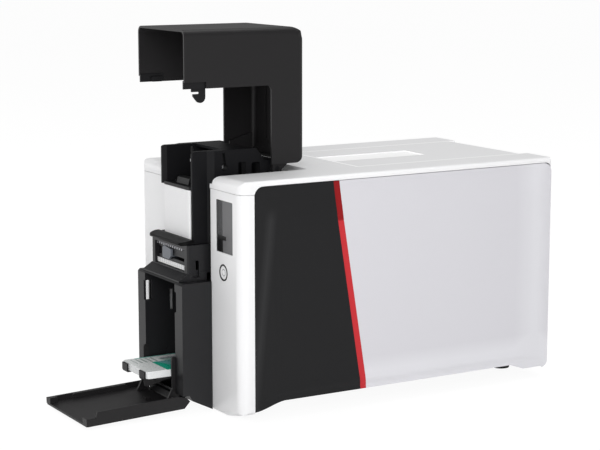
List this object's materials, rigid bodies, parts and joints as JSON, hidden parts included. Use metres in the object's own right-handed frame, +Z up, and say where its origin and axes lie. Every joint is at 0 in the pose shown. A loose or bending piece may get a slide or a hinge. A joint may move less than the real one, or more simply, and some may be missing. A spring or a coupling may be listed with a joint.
{
  "type": "card printer",
  "caption": "Desktop card printer with a tall open feeder cover, card stack, fold-down output door, sliding tray, hinged hood and a geared roller drive",
  "frame": {"origin": "centre of the footprint on the table, footprint taken with the output door open", "axes": "+X to the right as seen from the front, +Y to the rear, +Z up"},
  "size_m": [0.205, 0.4791, 0.3544],
  "materials": {
    "white_case": "satin",
    "light_panel": "satin",
    "dark_panel": "satin",
    "red_stripe": "gloss",
    "cover_black": "satin",
    "inner_black": "matte",
    "hopper_grey": "satin",
    "lever_grey": "satin",
    "scale_white": "matte",
    "comb_metal": "brushed",
    "smoke_window": "gloss",
    "foot_rubber": "matte",
    "pin_steel": "brushed",
    "frame_steel": "brushed",
    "drive_rubber": "matte",
    "clean_rubber": "matte",
    "gear_plastic": "satin",
    "pinion_brass": "polished",
    "motor_steel": "satin",
    "cassette_blue": "satin",
    "ribbon_film": "satin",
    "head_metal": "machined",
    "board_green": "satin",
    "port_metal": "satin",
    "card_white": "gloss",
    "card_print": "gloss"
  },
  "bodies": {
    "printer": {"base_pan": "inner_black", "feet": "foot_rubber", "front_cover": "white_case", "top_shell": "white_case", "rear_cover": "white_case", "right_panel_dark": "dark_panel", "right_stripe": "red_stripe", "right_panel_light": "light_panel", "left_panel_dark": "dark_panel", "left_stripe": "red_stripe", "left_panel_light": "light_panel", "window_lens": "smoke_window", "window_tab": "inner_black", "button_ring": "hopper_grey", "centre_frame": "inner_black", "feeder_frame": "inner_black", "blank_cards": "card_white", "mid_unit": "inner_black", "gauge_scale": "scale_white", "feed_comb": "comb_metal", "hopper_frame": "hopper_grey", "left_side_frame": "frame_steel", "right_side_frame": "frame_steel", "card_guide": "inner_black", "drive_motor": "motor_steel", "ribbon_cassette": "cassette_blue", "main_board": "board_green", "rear_ports": "port_metal", "fan_frame": "inner_black"},
    "cover": {"feeder_cover": "cover_black", "cover_catch": "inner_black", "cover_pins": "pin_steel"},
    "door": {"output_door": "cover_black", "door_pins": "pin_steel"},
    "tray": {"card_tray": "cover_black", "printed_cards": "card_print"},
    "hood": {"hood_cover": "white_case", "print_head": "head_metal"},
    "hood_key": {"hood_button": "white_case"},
    "power_key": {"power_button": "white_case"},
    "gauge": {"gauge_lever": "lever_grey"},
    "weight": {"card_weight": "inner_black"},
    "platen": {"platen_roller": "drive_rubber", "platen_gear": "gear_plastic"},
    "transport": {"transport_roller": "drive_rubber", "transport_gear": "gear_plastic"},
    "feed": {"feed_roller": "drive_rubber", "feed_gear": "gear_plastic"},
    "pick": {"pick_roller": "drive_rubber", "pick_gear": "gear_plastic"},
    "idler_front": {"front_idler": "gear_plastic"},
    "idler_middle": {"middle_idler": "gear_plastic"},
    "idler_rear": {"rear_idler": "gear_plastic"},
    "pinion": {"motor_pinion": "pinion_brass"},
    "cleaner": {"cleaning_roller": "clean_rubber"},
    "pinch": {"pinch_roller": "drive_rubber"},
    "supply": {"supply_spool": "ribbon_film"},
    "takeup": {"takeup_spool": "ribbon_film"},
    "flipper": {"card_flipper": "inner_black"},
    "fan": {"fan_rotor": "inner_black"}
  },
  "joints": [
    {"name": "cover_hinge", "type": "hinge", "parent": "printer", "child": "cover", "pos_m": [0, -0.03954, 0.2229], "axis": [1, 0, 0], "range_deg": [0, 90]},
    {"name": "door_hinge", "type": "hinge", "parent": "printer", "child": "door", "pos_m": [0, -0.13984, 0.0231], "axis": [-1, 0, 0], "range_deg": [0, 92]},
    {"name": "hood_hinge", "type": "hinge", "parent": "printer", "child": "hood", "pos_m": [0, 0.22796, 0.214], "axis": [-1, 0, 0], "range_deg": [0, 70]},
    {"name": "hood_key_slide", "type": "slide", "parent": "printer", "child": "hood_key", "axis": [0, 0, -1], "range_m": [0, 0.0012], "stiffness_N_per_m": 600, "springref_m": -0.0006},
    {"name": "power_key_slide", "type": "slide", "parent": "printer", "child": "power_key", "axis": [0, 1, 0], "range_m": [0, 0.0012], "stiffness_N_per_m": 600, "springref_m": -0.0006},
    {"name": "gauge_slide", "type": "slide", "parent": "printer", "child": "gauge", "axis": [1, 0, 0], "range_m": [0, 0.026]},
    {"name": "weight_slide", "type": "slide", "parent": "printer", "child": "weight", "axis": [0, 0, 1], "range_m": [0, 0.028]},
    {"name": "tray_slide", "type": "slide", "parent": "printer", "child": "tray", "axis": [0, 1, 0], "range_m": [0, 0.024]},
    {"name": "platen_spin", "type": "hinge", "parent": "printer", "child": "platen", "pos_m": [0, 0.09896, 0.152], "axis": [1, 0, 0], "continuous": true},
    {"name": "transport_spin", "type": "hinge", "parent": "printer", "child": "transport", "pos_m": [0, 0.04896, 0.152], "axis": [1, 0, 0], "continuous": true},
    {"name": "feed_spin", "type": "hinge", "parent": "printer", "child": "feed", "pos_m": [0, -0.00104, 0.152], "axis": [1, 0, 0], "continuous": true},
    {"name": "pick_spin", "type": "hinge", "parent": "printer", "child": "pick", "pos_m": [0, -0.05104, 0.152], "axis": [1, 0, 0], "continuous": true},
    {"name": "idler_front_spin", "type": "hinge", "parent": "printer", "child": "idler_front", "pos_m": [0, -0.02604, 0.152], "axis": [1, 0, 0], "continuous": true},
    {"name": "idler_middle_spin", "type": "hinge", "parent": "printer", "child": "idler_middle", "pos_m": [0, 0.02396, 0.152], "axis": [1, 0, 0], "continuous": true},
    {"name": "idler_rear_spin", "type": "hinge", "parent": "printer", "child": "idler_rear", "pos_m": [0, 0.07396, 0.152], "axis": [1, 0, 0], "continuous": true},
    {"name": "pinion_spin", "type": "hinge", "parent": "printer", "child": "pinion", "pos_m": [0, 0.07396, 0.1295], "axis": [1, 0, 0], "continuous": true},
    {"name": "cleaner_spin", "type": "hinge", "parent": "printer", "child": "cleaner", "pos_m": [0, -0.00104, 0.1674], "axis": [1, 0, 0], "continuous": true},
    {"name": "pinch_spin", "type": "hinge", "parent": "printer", "child": "pinch", "pos_m": [0, 0.04896, 0.1674], "axis": [1, 0, 0], "continuous": true},
    {"name": "supply_spin", "type": "hinge", "parent": "printer", "child": "supply", "pos_m": [0, 0.13496, 0.19], "axis": [1, 0, 0], "continuous": true},
    {"name": "takeup_spin", "type": "hinge", "parent": "printer", "child": "takeup", "pos_m": [0, 0.06596, 0.19], "axis": [1, 0, 0], "continuous": true},
    {"name": "flipper_spin", "type": "hinge", "parent": "printer", "child": "flipper", "pos_m": [0, 0.18896, 0.1604], "axis": [1, 0, 0], "continuous": true},
    {"name": "fan_spin", "type": "hinge", "parent": "printer", "child": "fan", "pos_m": [0.07, 0.23196, 0.12], "axis": [0, 1, 0], "continuous": true}
  ],
  "couplings": [
    {"joint": "transport_spin", "follows": "platen_spin", "ratio": 1},
    {"joint": "feed_spin", "follows": "platen_spin", "ratio": 1},
    {"joint": "pick_spin", "follows": "platen_spin", "ratio": 1},
    {"joint": "idler_front_spin", "follows": "platen_spin", "ratio": -0.66667},
    {"joint": "idler_middle_spin", "follows": "platen_spin", "ratio": -0.66667},
    {"joint": "idler_rear_spin", "follows": "platen_spin", "ratio": -0.66667},
    {"joint": "pinion_spin", "follows": "platen_spin", "ratio": 1.3333},
    {"joint": "tray_slide", "follows": "door_hinge", "m_per_rad": 0.0149}
  ]
}
